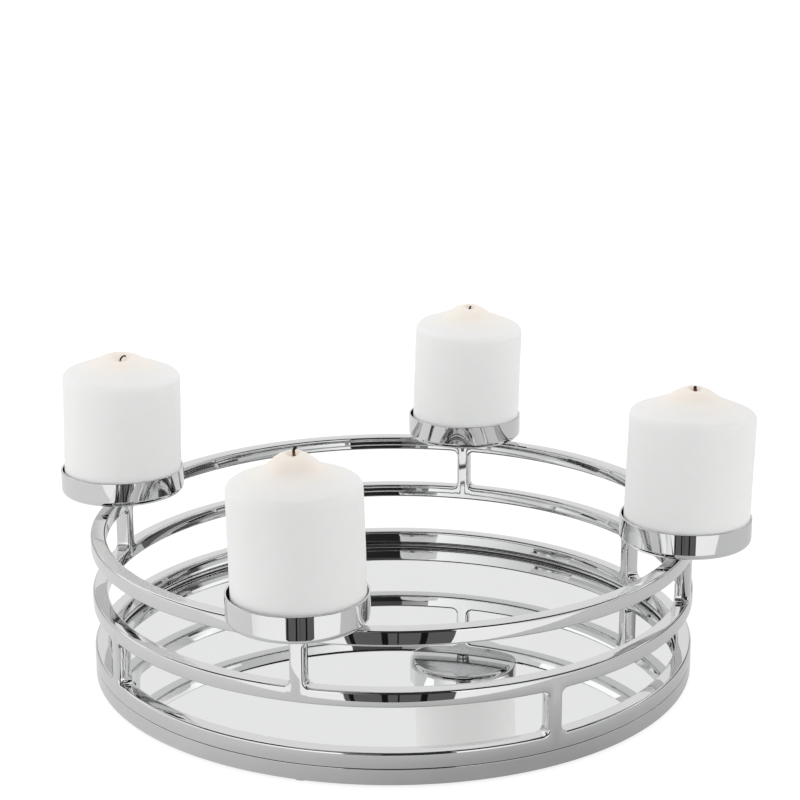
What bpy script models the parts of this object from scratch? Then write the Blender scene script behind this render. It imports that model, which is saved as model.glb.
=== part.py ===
"""Advent wreath: three polished rings on posts over a mirror tray, with four candles in shallow cups.

The origin is on the wreath's axis, at the surface that it stands on. Cup 1 is at the front (-Y),
and cups 2, 3 and 4 follow anticlockwise as seen from above. All lengths are in metres.
"""
import math

import bmesh
import bpy
from mathutils import Matrix, Vector

MM = 0.001

# Air left between two pieces that touch
SEAT_GAP = 0.3 * MM

# Rings, all three of one square bar
RING_RADIUS = 200.0 * MM
BAR_WIDTH = 10.0 * MM
BAR_HEIGHT = 10.0 * MM
BAR_ROUNDING = 1.0 * MM
RING_SPACING = 28.0 * MM

# Posts between the rings
POST_WIDTH = 9.0 * MM
POST_FLARE = 4.0 * MM
POST_LIP = 0.4 * MM

# Tray: a ring with a ledge, a backing board and the mirror on it, and felt feet
BASE_HEIGHT = 10.3 * MM
LEDGE_REACH = 6.0 * MM
LEDGE_HEIGHT = 1.6 * MM
BOARD_THICKNESS = 2.1 * MM
MIRROR_THICKNESS = 4.0 * MM
MIRROR_CLEARANCE = 0.5 * MM
FOOT_RADIUS = 6.0 * MM
FOOT_HEIGHT = 1.0 * MM

# Screws, one size for the cups and the tray
SCREW_RADIUS = 1.5 * MM
SCREW_HEAD_RADIUS = 3.0 * MM
SCREW_HEAD_HEIGHT = 0.9 * MM
SCREW_GRIP = 6.0 * MM
SCREW_CLEARANCE = 0.3 * MM
SCREW_END_ROOM = 0.8 * MM
SCREW_SINK = 0.4 * MM

# Cups and the small spacers that they stand on
CUP_COUNT = 4
CUP_HEIGHT = 17.0 * MM
CUP_WALL = 1.2 * MM
CUP_CORNER = 4.0 * MM
CUP_RIM_ROUNDING = 0.4 * MM
SPACER_RADIUS = 5.0 * MM
SPACER_HEIGHT = 2.4 * MM

# Candles
CANDLE_RADIUS = 40.0 * MM
CANDLE_HEIGHT = 98.0 * MM
CANDLE_CLEARANCE = 0.8 * MM
CANDLE_SHOULDER = 6.5 * MM
FLANK_STEEP = math.radians(31.0)
FLANK_SHALLOW = math.radians(17.0)
CREST_RADIUS = 4.0 * MM
CREST_INNER_SLOPE = math.radians(25.0)
POOL_RADIUS = 5.5 * MM
POOL_DEPTH = 1.5 * MM
POOL_FLOOR_RADIUS = 3.0 * MM

# Room round a cup's screw in the hollow under its candle
RECESS_MARGIN = 9.0 * MM
RECESS_ROOM = 1.1 * MM

# Wicks: how far each leans over at its end, and to which side, in degrees anticlockwise from +X
WICK_RADIUS = 1.0 * MM
WICK_CLEARANCE = 0.3 * MM
WICK_STAND = 5.5 * MM
WICK_BEND_RADIUS = 5.0 * MM
WICK_BENDS = ((25.0, 16.0), (12.0, 196.0), (20.0, 16.0), (58.0, 16.0))

# Facets of the round pieces, and the angle from which an edge is shaded sharp
RING_FACETS = 64
CUP_FACETS = 28
SMALL_FACETS = 12
SHARP_ANGLE = math.radians(35.0)

# Sizes that follow from the ones above
RING_INNER = RING_RADIUS - BAR_WIDTH
RING_MIDDLE = RING_RADIUS - BAR_WIDTH / 2
SCREW_HOLE = SCREW_RADIUS + SCREW_CLEARANCE
BASE_BOTTOM = FOOT_HEIGHT + SEAT_GAP
BASE_TOP = BASE_BOTTOM + BASE_HEIGHT
LEDGE_INNER = RING_INNER - LEDGE_REACH
TRAY_RADIUS = RING_INNER - MIRROR_CLEARANCE
BOARD_BOTTOM = BASE_BOTTOM + LEDGE_HEIGHT + SEAT_GAP
MIRROR_BOTTOM = BOARD_BOTTOM + BOARD_THICKNESS + SEAT_GAP
BOTTOM_RAIL_Z = BASE_TOP + SEAT_GAP
MIDDLE_RAIL_Z = BOTTOM_RAIL_Z + BAR_HEIGHT + RING_SPACING
TOP_RAIL_Z = MIDDLE_RAIL_Z + BAR_HEIGHT + RING_SPACING
SPACER_BOTTOM = TOP_RAIL_Z + BAR_HEIGHT + SEAT_GAP
CUP_BOTTOM = SPACER_BOTTOM + SPACER_HEIGHT + SEAT_GAP
CUP_FLOOR = CUP_BOTTOM + CUP_WALL
CUP_INNER = CANDLE_RADIUS + CANDLE_CLEARANCE
CUP_RADIUS = CUP_INNER + CUP_WALL
CUP_INNER_CORNER = CUP_CORNER - CUP_WALL
CANDLE_BOTTOM = CUP_FLOOR + SEAT_GAP
WICK_HOLE = WICK_RADIUS + WICK_CLEARANCE
RECESS_RADIUS = SCREW_HEAD_RADIUS + RECESS_MARGIN
RECESS_DEPTH = SCREW_HEAD_HEIGHT + RECESS_ROOM
HEAD_SEAT = SCREW_SINK + SCREW_HEAD_HEIGHT + SEAT_GAP

# Where the cups stand, and where the lower posts and the tray's screws are between them
STEP = 2 * math.pi / CUP_COUNT
CUP_ANGLES = [-math.pi / 2 + STEP * i for i in range(CUP_COUNT)]
BETWEEN_ANGLES = [angle + STEP / 2 for angle in CUP_ANGLES]


def clear_scene():
    """Start from an empty scene."""
    for item in list(bpy.data.objects):
        bpy.data.objects.remove(item, do_unlink=True)


def collection(name):
    """Make a collection in the scene."""
    made = bpy.data.collections.new(name)
    bpy.context.scene.collection.children.link(made)
    return made


def material(name, colour, roughness, metallic):
    """A plain surface with its colour, roughness and metallic value."""
    made = bpy.data.materials.new(name)
    made.use_nodes = True
    shader = made.node_tree.nodes["Principled BSDF"]
    shader.inputs["Base Color"].default_value = (*colour, 1.0)
    shader.inputs["Roughness"].default_value = roughness
    shader.inputs["Metallic"].default_value = metallic
    return made


def polar(radius, angle, height=0.0):
    """The point at a radius, an angle and a height."""
    return Vector((radius * math.cos(angle), radius * math.sin(angle), height))


def new_object(name, mesh, finish, place):
    """Put a mesh in its collection, with its finish."""
    made = bpy.data.objects.new(name, mesh)
    if finish:
        mesh.materials.append(finish)
    place.objects.link(made)
    return made


def smooth(mesh):
    """Shade a round piece smooth, except across its sharp edges."""
    mesh.shade_smooth()
    mesh.set_sharp_from_angle(angle=SHARP_ANGLE)


def rounded(corners, steps):
    """Points of a closed outline, given as (x, z, rounding radius) corners, with its corners rounded."""
    points = []
    count = len(corners)
    for i, (x, z, radius) in enumerate(corners):
        here = Vector((x, z))
        if radius == 0:
            points.append(here)
            continue
        before = (Vector(corners[i - 1][:2]) - here).normalized()
        after = (Vector(corners[(i + 1) % count][:2]) - here).normalized()
        half = before.angle(after) / 2
        centre = here + (before + after).normalized() * (radius / math.sin(half))
        start = here + before * (radius / math.tan(half)) - centre
        sweep = start.angle_signed(here + after * (radius / math.tan(half)) - centre)
        for step in range(steps + 1):
            turn = Matrix.Rotation(-sweep * step / steps, 2)
            points.append(centre + turn @ start)
    return points


def arc(centre, radius, start, end, steps):
    """Points on an arc in the x-z plane, with angles in radians from +X towards +Z."""
    points = []
    for step in range(steps + 1):
        angle = start + (end - start) * step / steps
        points.append(Vector((centre[0] + radius * math.cos(angle), centre[1] + radius * math.sin(angle))))
    return points


def turned(name, outline, facets, finish, place, closed=True):
    """A turned piece: its outline runs down the outer side, and a Screw modifier turns it about Z."""
    shape = bmesh.new()
    verts = [shape.verts.new((point[0], 0.0, point[1])) for point in outline]
    for first, second in zip(verts, verts[1:]):
        shape.edges.new((first, second))
    if closed:
        shape.edges.new((verts[-1], verts[0]))
    mesh = bpy.data.meshes.new(name)
    shape.to_mesh(mesh)
    shape.free()
    made = new_object(name, mesh, finish, place)
    turn = made.modifiers.new("Turn", "SCREW")
    turn.angle = 2 * math.pi
    turn.steps = facets
    turn.render_steps = facets
    turn.use_merge_vertices = True
    turn.merge_threshold = 0.00001
    turn.use_smooth_shade = True
    return made


def disc(name, radius, height, facets, finish, place):
    """A flat round plate on the plane z = 0."""
    shape = bmesh.new()
    bmesh.ops.create_cone(
        shape, cap_ends=True, segments=facets, radius1=radius, radius2=radius, depth=height,
        matrix=Matrix.Translation((0, 0, height / 2)),
    )
    mesh = bpy.data.meshes.new(name)
    shape.to_mesh(mesh)
    shape.free()
    smooth(mesh)
    return new_object(name, mesh, finish, place)


def drill(name, angles, radius, bottom, top, place):
    """A cutter with one round bore for each angle, on the rings' middle line."""
    shape = bmesh.new()
    for angle in angles:
        middle = polar(RING_MIDDLE, angle, (bottom + top) / 2)
        bmesh.ops.create_cone(
            shape, cap_ends=True, segments=SMALL_FACETS, radius1=radius, radius2=radius,
            depth=top - bottom, matrix=Matrix.Translation(middle),
        )
    mesh = bpy.data.meshes.new(name)
    shape.to_mesh(mesh)
    shape.free()
    made = new_object(name, mesh, None, place)
    made.hide_render = True
    made.display_type = "WIRE"
    return made


def cut(target, cutter):
    """Take a cutter's shape out of a piece."""
    made = target.modifiers.new(cutter.name, "BOOLEAN")
    made.operation = "DIFFERENCE"
    made.solver = "EXACT"
    made.object = cutter


def rail(name, bottom, finish, place):
    """One ring, turned from a square bar with rounded edges."""
    outline = rounded([
        (RING_RADIUS, BAR_HEIGHT, BAR_ROUNDING),
        (RING_RADIUS, 0.0, BAR_ROUNDING),
        (RING_INNER, 0.0, BAR_ROUNDING),
        (RING_INNER, BAR_HEIGHT, BAR_ROUNDING),
    ], steps=1)
    made = turned(name, outline, RING_FACETS, finish, place)
    made.location.z = bottom
    return made


def post_section(half_width):
    """Corners of a post seen from above, as (radius, distance along the ring), anticlockwise."""
    inner = RING_INNER
    outer = RING_RADIUS
    corners = rounded([
        (outer, -half_width, BAR_ROUNDING),
        (outer, half_width, BAR_ROUNDING),
        (inner, half_width, BAR_ROUNDING),
        (inner, -half_width, BAR_ROUNDING),
    ], steps=1)
    return [(point[0], point[1]) for point in corners]


def post_levels(length, steps=3):
    """Heights and half widths of a post, whose ends flare out in fillets against the rings."""
    first = math.asin(1 - POST_LIP / POST_FLARE)
    flare = []
    for step in range(steps + 1):
        angle = first * (1 - step / steps)
        height = POST_FLARE * (1 - math.sin(angle))
        flare.append((height, POST_WIDTH / 2 + POST_FLARE * (1 - math.cos(angle))))
    lower = [(0.0, flare[0][1])] + flare
    upper = [(length - height, half) for height, half in reversed(lower)]
    return lower + upper


def post(name, bottom, angle, finish, place):
    """A post that carries the ring above it, flush with the rings inside and outside."""
    shape = bmesh.new()
    loops = []
    for height, half_width in post_levels(RING_SPACING - 2 * SEAT_GAP):
        loop = [shape.verts.new(polar(r, along / r, height)) for r, along in post_section(half_width)]
        loops.append(loop)
    shape.faces.new(list(reversed(loops[0])))
    shape.faces.new(loops[-1])
    for below, above in zip(loops, loops[1:]):
        count = len(below)
        for i in range(count):
            j = (i + 1) % count
            shape.faces.new((below[i], below[j], above[j], above[i]))
    mesh = bpy.data.meshes.new(name)
    shape.to_mesh(mesh)
    shape.free()
    smooth(mesh)
    made = new_object(name, mesh, finish, place)
    made.location.z = bottom + SEAT_GAP
    made.rotation_euler.z = angle
    return made


def base_ring(finish, place, cutters):
    """The tray's ring, with the ledge that carries the board, bored for its screws."""
    outline = rounded([
        (RING_RADIUS, BASE_HEIGHT, BAR_ROUNDING),
        (RING_RADIUS, 0.0, BAR_ROUNDING),
        (LEDGE_INNER, 0.0, 0.0),
        (LEDGE_INNER, LEDGE_HEIGHT, 0.0),
        (RING_INNER, LEDGE_HEIGHT, 0.0),
        (RING_INNER, BASE_HEIGHT, BAR_ROUNDING),
    ], steps=1)
    made = turned("base_ring", outline, RING_FACETS, finish, place)
    made.location.z = BASE_BOTTOM
    bores = drill("base_bores", BETWEEN_ANGLES, SCREW_HOLE, 0.0, BASE_TOP + SEAT_GAP, cutters)
    sinks = drill("base_sinks", BETWEEN_ANGLES, SCREW_HEAD_RADIUS + SCREW_CLEARANCE,
                  0.0, BASE_BOTTOM + HEAD_SEAT, cutters)
    cut(made, bores)
    cut(made, sinks)
    return made


def screw(name, shank, finish, place):
    """A flat-headed screw that points down, with the underside of its head at its origin."""
    outline = [
        (0.0, SCREW_HEAD_HEIGHT),
        (SCREW_HEAD_RADIUS, SCREW_HEAD_HEIGHT),
        (SCREW_HEAD_RADIUS, 0.0),
        (SCREW_RADIUS, 0.0),
        (SCREW_RADIUS, -shank),
        (0.0, -shank),
    ]
    return turned(name, outline, SMALL_FACETS, finish, place, closed=False)


def spacer(name, finish, place):
    """The short bush between a cup and the top ring."""
    outline = [
        (SPACER_RADIUS, SPACER_HEIGHT),
        (SPACER_RADIUS, 0.0),
        (SCREW_HOLE, 0.0),
        (SCREW_HOLE, SPACER_HEIGHT),
    ]
    return turned(name, outline, SMALL_FACETS, finish, place)


def cup(name, finish, place):
    """A shallow round cup, drawn from sheet, with a screw hole in its floor."""
    outline = rounded([
        (CUP_RADIUS, CUP_HEIGHT, CUP_RIM_ROUNDING),
        (CUP_RADIUS, 0.0, CUP_CORNER),
        (SCREW_HOLE, 0.0, 0.0),
        (SCREW_HOLE, CUP_WALL, 0.0),
        (CUP_INNER, CUP_WALL, CUP_INNER_CORNER),
        (CUP_INNER, CUP_HEIGHT, CUP_RIM_ROUNDING),
    ], steps=2)
    return turned(name, outline, CUP_FACETS, finish, place)


def crest_outline():
    """The top of a candle: melted pool, crest, hollow flank and shoulder, from the wick outwards."""
    pool = [
        Vector((WICK_HOLE, CANDLE_HEIGHT - POOL_DEPTH)),
        Vector((POOL_FLOOR_RADIUS, CANDLE_HEIGHT - POOL_DEPTH)),
    ]
    crest_centre = (POOL_RADIUS, CANDLE_HEIGHT - CREST_RADIUS)
    quarter = math.pi / 2
    crest = arc(crest_centre, CREST_RADIUS, quarter + CREST_INNER_SLOPE, quarter - FLANK_STEEP, 2)
    shoulder_start = CANDLE_RADIUS - CANDLE_SHOULDER * (1 - math.sin(FLANK_SHALLOW))
    flank_radius = (shoulder_start - crest[-1].x) / (math.sin(FLANK_STEEP) - math.sin(FLANK_SHALLOW))
    flank_centre = crest[-1] + Vector((math.sin(FLANK_STEEP), math.cos(FLANK_STEEP))) * flank_radius
    flank = arc(flank_centre, flank_radius, -quarter - FLANK_STEEP, -quarter - FLANK_SHALLOW, 3)
    shoulder_centre = flank[-1] - Vector((math.sin(FLANK_SHALLOW), math.cos(FLANK_SHALLOW))) * CANDLE_SHOULDER
    shoulder = arc(shoulder_centre, CANDLE_SHOULDER, quarter - FLANK_SHALLOW, 0.0, 3)
    return pool + crest + flank[1:] + shoulder[1:]


def candle(name, finish, place):
    """A pillar candle with its domed top and small melted pool, bored for its wick."""
    edge = CUP_INNER_CORNER
    base = arc((CANDLE_RADIUS - edge, edge), edge, 0.0, -math.pi / 2, 2)
    recess = [
        Vector((RECESS_RADIUS, 0.0)),
        Vector((RECESS_RADIUS, RECESS_DEPTH)),
        Vector((WICK_HOLE, RECESS_DEPTH)),
    ]
    return turned(name, crest_outline() + base + recess, CUP_FACETS, finish, place)


def wick(name, lean, side, finish, place, steps=4):
    """The wick runs the candle's whole length, stands out of the pool and leans over at its end."""
    top = CANDLE_HEIGHT - POOL_DEPTH
    lean = math.radians(lean)
    bend = WICK_BEND_RADIUS * lean
    straight = top + WICK_STAND - bend
    points = [Vector((0, 0, RECESS_DEPTH)), Vector((0, 0, top)), Vector((0, 0, straight))]
    for step in range(1, steps + 1):
        angle = lean * step / steps
        out = WICK_BEND_RADIUS * (1 - math.cos(angle))
        up = WICK_BEND_RADIUS * math.sin(angle)
        points.append(polar(out, math.radians(side), straight + up))
    line = bpy.data.curves.new(name, "CURVE")
    line.dimensions = "3D"
    line.bevel_depth = WICK_RADIUS
    line.bevel_resolution = 2
    line.resolution_u = 1
    line.use_fill_caps = True
    path = line.splines.new("POLY")
    path.points.add(len(points) - 1)
    for target, point in zip(path.points, points):
        target.co = (*point, 1.0)
    return new_object(name, line, finish, place)


def build_frame(place, cutters, metal):
    """Three rings and the eight posts between them."""
    rail("middle_rail", MIDDLE_RAIL_Z, metal, place)
    top_rail = rail("top_rail", TOP_RAIL_Z, metal, place)
    bottom_rail = rail("bottom_rail", BOTTOM_RAIL_Z, metal, place)
    depth = SCREW_GRIP + SCREW_END_ROOM
    rail_top = TOP_RAIL_Z + BAR_HEIGHT
    cut(top_rail, drill("cup_bores", CUP_ANGLES, SCREW_HOLE, rail_top - depth, rail_top + SEAT_GAP, cutters))
    cut(bottom_rail, drill("tray_bores", BETWEEN_ANGLES, SCREW_HOLE, BASE_TOP, BOTTOM_RAIL_Z + depth, cutters))
    for number, (over, between) in enumerate(zip(CUP_ANGLES, BETWEEN_ANGLES), start=1):
        post(f"upper_post_{number}", MIDDLE_RAIL_Z + BAR_HEIGHT, over, metal, place)
        post(f"lower_post_{number}", BOTTOM_RAIL_Z + BAR_HEIGHT, between, metal, place)


def build_tray(place, cutters, metal, steel, glass, board, felt):
    """The tray's ring, board and mirror, its screws and its feet."""
    base_ring(metal, place, cutters)
    backing = disc("base_board", TRAY_RADIUS, BOARD_THICKNESS, RING_FACETS, board, place)
    backing.location.z = BOARD_BOTTOM
    mirror = disc("mirror_plate", TRAY_RADIUS, MIRROR_THICKNESS, RING_FACETS, glass, place)
    mirror.location.z = MIRROR_BOTTOM
    foot_ring = (RING_RADIUS + LEDGE_INNER) / 2
    shank = BASE_HEIGHT - HEAD_SEAT + 2 * SEAT_GAP + SCREW_GRIP
    for number, (over, between) in enumerate(zip(CUP_ANGLES, BETWEEN_ANGLES), start=1):
        fixing = screw(f"base_screw_{number}", shank, steel, place)
        fixing.rotation_euler.x = math.pi
        fixing.location = polar(RING_MIDDLE, between, BASE_BOTTOM + HEAD_SEAT - SEAT_GAP)
        foot = disc(f"felt_foot_{number}", FOOT_RADIUS, FOOT_HEIGHT, SMALL_FACETS, felt, place)
        foot.location = polar(foot_ring, over)


def build_cups(place, metal, steel):
    """Each cup on its spacer, held by a screw through its floor."""
    shank = SEAT_GAP + CUP_WALL + SEAT_GAP + SPACER_HEIGHT + SEAT_GAP + SCREW_GRIP
    for number, angle in enumerate(CUP_ANGLES, start=1):
        spacer(f"cup_spacer_{number}", metal, place).location = polar(RING_MIDDLE, angle, SPACER_BOTTOM)
        cup(f"candle_cup_{number}", metal, place).location = polar(RING_MIDDLE, angle, CUP_BOTTOM)
        fixing = screw(f"cup_screw_{number}", shank, steel, place)
        fixing.location = polar(RING_MIDDLE, angle, CUP_FLOOR + SEAT_GAP)


def build_candles(place, wax, cotton):
    """Each candle, with its wick as its child, stands in its cup and lifts out straight up."""
    for number, angle in enumerate(CUP_ANGLES, start=1):
        body = candle(f"candle_{number}", wax, place)
        body.location = polar(RING_MIDDLE, angle, CANDLE_BOTTOM)
        lean, side = WICK_BENDS[(number - 1) % len(WICK_BENDS)]
        wick(f"wick_{number}", lean, side, cotton, place).parent = body


def main():
    """Build the wreath."""
    clear_scene()
    parts = collection("advent_wreath")
    cutters = collection("cutters")
    metal = material("polished_metal", (0.72, 0.73, 0.74), 0.05, 1.0)
    steel = material("screw_steel", (0.45, 0.45, 0.46), 0.3, 1.0)
    glass = material("mirror_glass", (0.86, 0.87, 0.87), 0.02, 1.0)
    board = material("backing_board", (0.09, 0.07, 0.05), 0.8, 0.0)
    felt = material("felt", (0.05, 0.05, 0.05), 0.95, 0.0)
    wax = material("candle_wax", (0.86, 0.86, 0.84), 0.5, 0.0)
    cotton = material("burnt_wick", (0.03, 0.02, 0.015), 0.9, 0.0)
    build_frame(parts, cutters, metal)
    build_tray(parts, cutters, metal, steel, glass, board, felt)
    build_cups(parts, metal, steel)
    build_candles(parts, wax, cotton)


main()
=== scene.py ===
"""Advent wreath: polished rings on posts over a mirror tray, with four candles in shallow cups.

Every visible piece is made here around the wreath's solid model, in metres, each with its finish,
and stands in a plain white studio. The stage is laid out as seen from the camera, and turned with it.
"""
import math

import bmesh
import bpy
from bpy.props import FloatProperty, FloatVectorProperty, PointerProperty
from mathutils import Matrix, Vector, geometry, noise


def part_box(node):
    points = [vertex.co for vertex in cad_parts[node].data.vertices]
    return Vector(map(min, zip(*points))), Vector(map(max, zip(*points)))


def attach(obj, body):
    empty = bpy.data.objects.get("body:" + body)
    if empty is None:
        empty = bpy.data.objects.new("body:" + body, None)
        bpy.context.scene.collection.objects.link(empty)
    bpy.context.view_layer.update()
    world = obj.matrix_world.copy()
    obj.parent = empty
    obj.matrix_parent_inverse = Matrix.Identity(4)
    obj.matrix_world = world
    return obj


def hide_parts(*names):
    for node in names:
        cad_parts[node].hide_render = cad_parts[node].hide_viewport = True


bl_info = {
    "name": "Advent Wreath",
    "version": (1, 0, 0),
    "blender": (4, 5, 0),
    "location": "View3D > Sidebar > Wreath",
    "description": "Models an advent wreath of polished rings with candles in shallow cups",
    "category": "Object",
}

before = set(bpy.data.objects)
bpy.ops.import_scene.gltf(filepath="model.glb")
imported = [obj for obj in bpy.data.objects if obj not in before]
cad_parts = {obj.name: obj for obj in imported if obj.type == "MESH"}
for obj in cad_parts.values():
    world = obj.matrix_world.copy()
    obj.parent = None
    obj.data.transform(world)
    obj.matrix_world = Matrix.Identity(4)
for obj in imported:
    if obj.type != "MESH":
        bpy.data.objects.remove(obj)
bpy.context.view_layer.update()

MM = 0.001
HALF_TURN = math.pi
QUARTER = math.pi / 2

# Cup, candle and wick 1 to 4 stand at these sides of the wreath
SIDES = {1: "front", 2: "right", 3: "rear", 4: "left"}
NUMBERS = tuple(SIDES)

# Facets round the rings, the cups and candles, and the small turned pieces
RING_SEGMENTS = 192
CUP_SEGMENTS = 128
SMALL_SEGMENTS = 32
EDGE_STEPS = 5
# Radius of the finest edges, on thin, drilled and ground pieces
FINE_EDGE = 0.1 * MM
# A point nearer to the axis than this stands on it
ON_AXIS = 1e-7


# Settings that a user would change

def plain_setting(name, description, value, **limits):
    """A setting for a number from 0 up."""
    return FloatProperty(name=name, description=description, default=value, min=0.0, **limits)


def length_setting(name, description, millimetres):
    """A setting for a length."""
    return FloatProperty(name=name, description=description, default=millimetres * MM, unit="LENGTH")


def angle_setting(name, description, degrees):
    """A setting for an angle."""
    return FloatProperty(name=name, description=description, default=math.radians(degrees), subtype="ANGLE")


def colour_setting(name, description, *value):
    """A setting for a colour."""
    return FloatVectorProperty(
        name=name, description=description, default=value, subtype="COLOR", min=0.0, max=1.0)


class MetalSettings(bpy.types.PropertyGroup):
    """Sizes and finish of the polished metal."""

    bar_width: length_setting("Bar Width", "Width of the rings' square bar, seen from above", 10.0)
    edge_rounding: length_setting("Edge Rounding", "Radius of the bars' polished edges", 1.7)
    groove_rounding: length_setting(
        "Groove Rounding", "Edge radius on both sides of the groove above the tray", 0.35)
    post_width: length_setting("Post Width", "Width of a post between two windows", 9.0)
    weld_fillet: length_setting("Weld Fillet", "Radius of the ground welds in the windows' corners", 4.0)
    cup_wall: length_setting("Cup Wall", "Sheet thickness of the cups", 1.2)
    cup_corner: length_setting("Cup Corner", "Outer radius between a cup's wall and floor", 4.0)
    colour: colour_setting("Metal Colour", "Reflection colour of the polished plating", 0.72, 0.722, 0.725)
    roughness: plain_setting("Metal Roughness", "Roughness of the polished plating", 0.02, max=1.0)


class TraySettings(bpy.types.PropertyGroup):
    """Sizes and colours of the tray's own pieces."""

    ledge_reach: length_setting("Ledge Reach", "How far the ledge under the board stands in", 6.0)
    ledge_height: length_setting("Ledge Height", "Thickness of the ledge under the board", 1.6)
    mirror_colour: colour_setting("Mirror Colour", "Reflection colour of the mirror", 0.86, 0.865, 0.865)
    board_colour: colour_setting("Board Colour", "Pressed board under the mirror", 0.105, 0.075, 0.05)
    felt_colour: colour_setting("Felt Colour", "Felt of the feet", 0.62, 0.62, 0.60)


class CandleSettings(bpy.types.PropertyGroup):
    """Shape and colours of the candles and their wicks, with the painted glow of their flames."""

    base_corner: length_setting("Base Corner", "Radius between a candle's side and its base", 2.8)
    wax_colour: colour_setting("Wax Colour", "White paraffin wax", 0.90, 0.90, 0.89)
    # Painted glow: the flame's light shining through the wax round the wick, painted as a warmer wax colour
    # out to a reach
    flame_glow_colour: colour_setting(
        "Warm Wax Colour", "Wax round the wick, softened by the flame", 1.0, 0.895, 0.81)
    flame_glow_reach: length_setting("Warm Reach", "How far from the wick the wax is warmer", 39.0)
    char_colour: colour_setting("Char Colour", "Burnt end of a wick", 0.008, 0.006, 0.005)
    # Painted glow: the flame's orange light on the foot of a wick, painted as a brown colour
    wick_glow_colour: colour_setting("Singed Colour", "Singed cotton at the foot of a wick", 0.24, 0.09, 0.03)


class StudioSettings(bpy.types.PropertyGroup):
    """Camera and light."""

    lens: plain_setting("Lens", "Focal length on a 36 mm sensor", 86.91, unit="CAMERA")
    distance: length_setting("Distance", "From the wreath's middle to the camera", 1309.08)
    azimuth: angle_setting("Azimuth", "How far the camera stands to the right of the front", 16.073)
    elevation: angle_setting("Elevation", "Angle at which the camera stands above the wreath", 20.687)
    pitch: angle_setting("Pitch", "How far the camera looks down", 15.343)
    roll: angle_setting("Roll", "How far the camera is turned about its own line of sight", -0.206)
    room_light: plain_setting("Room Light", "Strength of the light from the room's walls", 1.58)
    ceiling_share: plain_setting("Ceiling Share", "Brightness of the ceiling beside the walls", 0.35, max=1.0)
    softbox_power: plain_setting("Softbox Power", "Power of the softbox over the wreath", 1.4, unit="POWER")


# Meshes: outlines, turned pieces and what smooths them

def box_middle(node):
    """Middle of a node of the solid model, at its lowest level."""
    low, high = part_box(node)
    return Vector(((low.x + high.x) / 2, (low.y + high.y) / 2, low.z))


def round_size(node):
    """Radius and height of a round node of the solid model."""
    low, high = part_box(node)
    return (high.x - low.x) / 2, high.z - low.z


def polar(radius, angle, height=0.0):
    """The point at a radius, an angle and a height."""
    return Vector((radius * math.cos(angle), radius * math.sin(angle), height))


def rounded_outline(corners, steps=EDGE_STEPS, closed=True):
    """Points of an outline with their outward normals, from (x, z, rounding) corners in clockwise order.

    An open outline starts and ends with a plain corner, such as one on the axis.
    """
    points = []
    count = len(corners)
    for i, (x, z, rounding) in enumerate(corners):
        here = Vector((x, z))
        after = (Vector(corners[(i + 1) % count][:2]) - here).normalized()
        before = (here - Vector(corners[i - 1][:2])).normalized()
        if not closed and i in (0, count - 1):
            along = after if i == 0 else before
            points.append((here, Vector((-along.y, along.x))))
            continue
        first = Vector((-before.y, before.x))
        second = Vector((-after.y, after.x))
        turn = math.atan2(first.x * second.y - first.y * second.x, first.dot(second))
        bend = -1.0 if turn > 0 else 1.0
        start = here - before * (rounding * math.tan(abs(turn) / 2))
        centre = start - first * (rounding * bend)
        for step in range(steps + 1):
            normal = Matrix.Rotation(turn * step / steps, 2) @ first
            points.append((centre + normal * (rounding * bend), normal))
    return points


def smooth_curve(points, steps):
    """A smooth curve of vectors through the points, with this many steps between two of them."""
    last = len(points) - 1
    headings = []
    for i, point in enumerate(points):
        behind = point - points[max(i - 1, 0)]
        ahead = points[min(i + 1, last)] - point
        heading = behind.normalized() * ahead.length + ahead.normalized() * behind.length
        headings.append((heading if behind.length and ahead.length else behind + ahead).normalized())
    curve = []
    for i in range(last):
        start, end = points[i], points[i + 1]
        third = (end - start).length / 3
        handles = (start + headings[i] * third, end - headings[i + 1] * third)
        curve += geometry.interpolate_bezier(start, *handles, end, steps + 1)[:-1]
    return curve + [points[-1]]


def plain_mesh(name, verts, faces):
    """A mesh from its points and faces."""
    mesh = bpy.data.meshes.new(name)
    mesh.from_pydata(verts, [], faces)
    return mesh


def shape_mesh(name, shape):
    """A mesh from an edited shape, which is freed."""
    mesh = bpy.data.meshes.new(name)
    shape.to_mesh(mesh)
    shape.free()
    return mesh


def turned_mesh(name, outline, segments, closed=True, warp=None):
    """A mesh turned about Z from an outline of points and normals; warp moves each point of it."""
    verts = []
    normals = []
    rings = []
    for point, normal in outline:
        count = segments if point.x > ON_AXIS else 1
        rings.append([len(verts) + i for i in range(count)])
        for i in range(count):
            angle = 2 * math.pi * i / segments
            verts.append(polar(point.x, angle, point.y))
            normals.append(polar(normal.x, angle, normal.y) if count > 1 else Vector((0, 0, normal.y)))
    faces = []
    pairs = list(zip(rings, rings[1:])) + ([(rings[-1], rings[0])] if closed else [])
    for upper, lower in pairs:
        for i in range(segments):
            j = (i + 1) % segments
            corners = [row[k % len(row)] for row, k in ((upper, i), (lower, i), (lower, j), (upper, j))]
            faces.append(list(dict.fromkeys(corners)))
    mesh = plain_mesh(name, [warp(point) for point in verts] if warp else verts, faces)
    mesh.shade_smooth()
    if not warp:
        mesh.normals_split_custom_set_from_vertices(normals)
    return mesh


def linked_object(name, data, place=None):
    """A new object in the scene."""
    made = bpy.data.objects.new(name, data)
    bpy.context.scene.collection.objects.link(made)
    if place is not None:
        made.matrix_world = place
    return made


def put(name, mesh, material, slot, replaced, place=None, body="holder"):
    """An object for a finished mesh, which rides on a body and stands for nodes of the solid model."""
    piece = linked_object(name, mesh, place)
    piece.data.materials.append(material)
    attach(piece, body)
    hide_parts(*replaced)
    return piece


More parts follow.
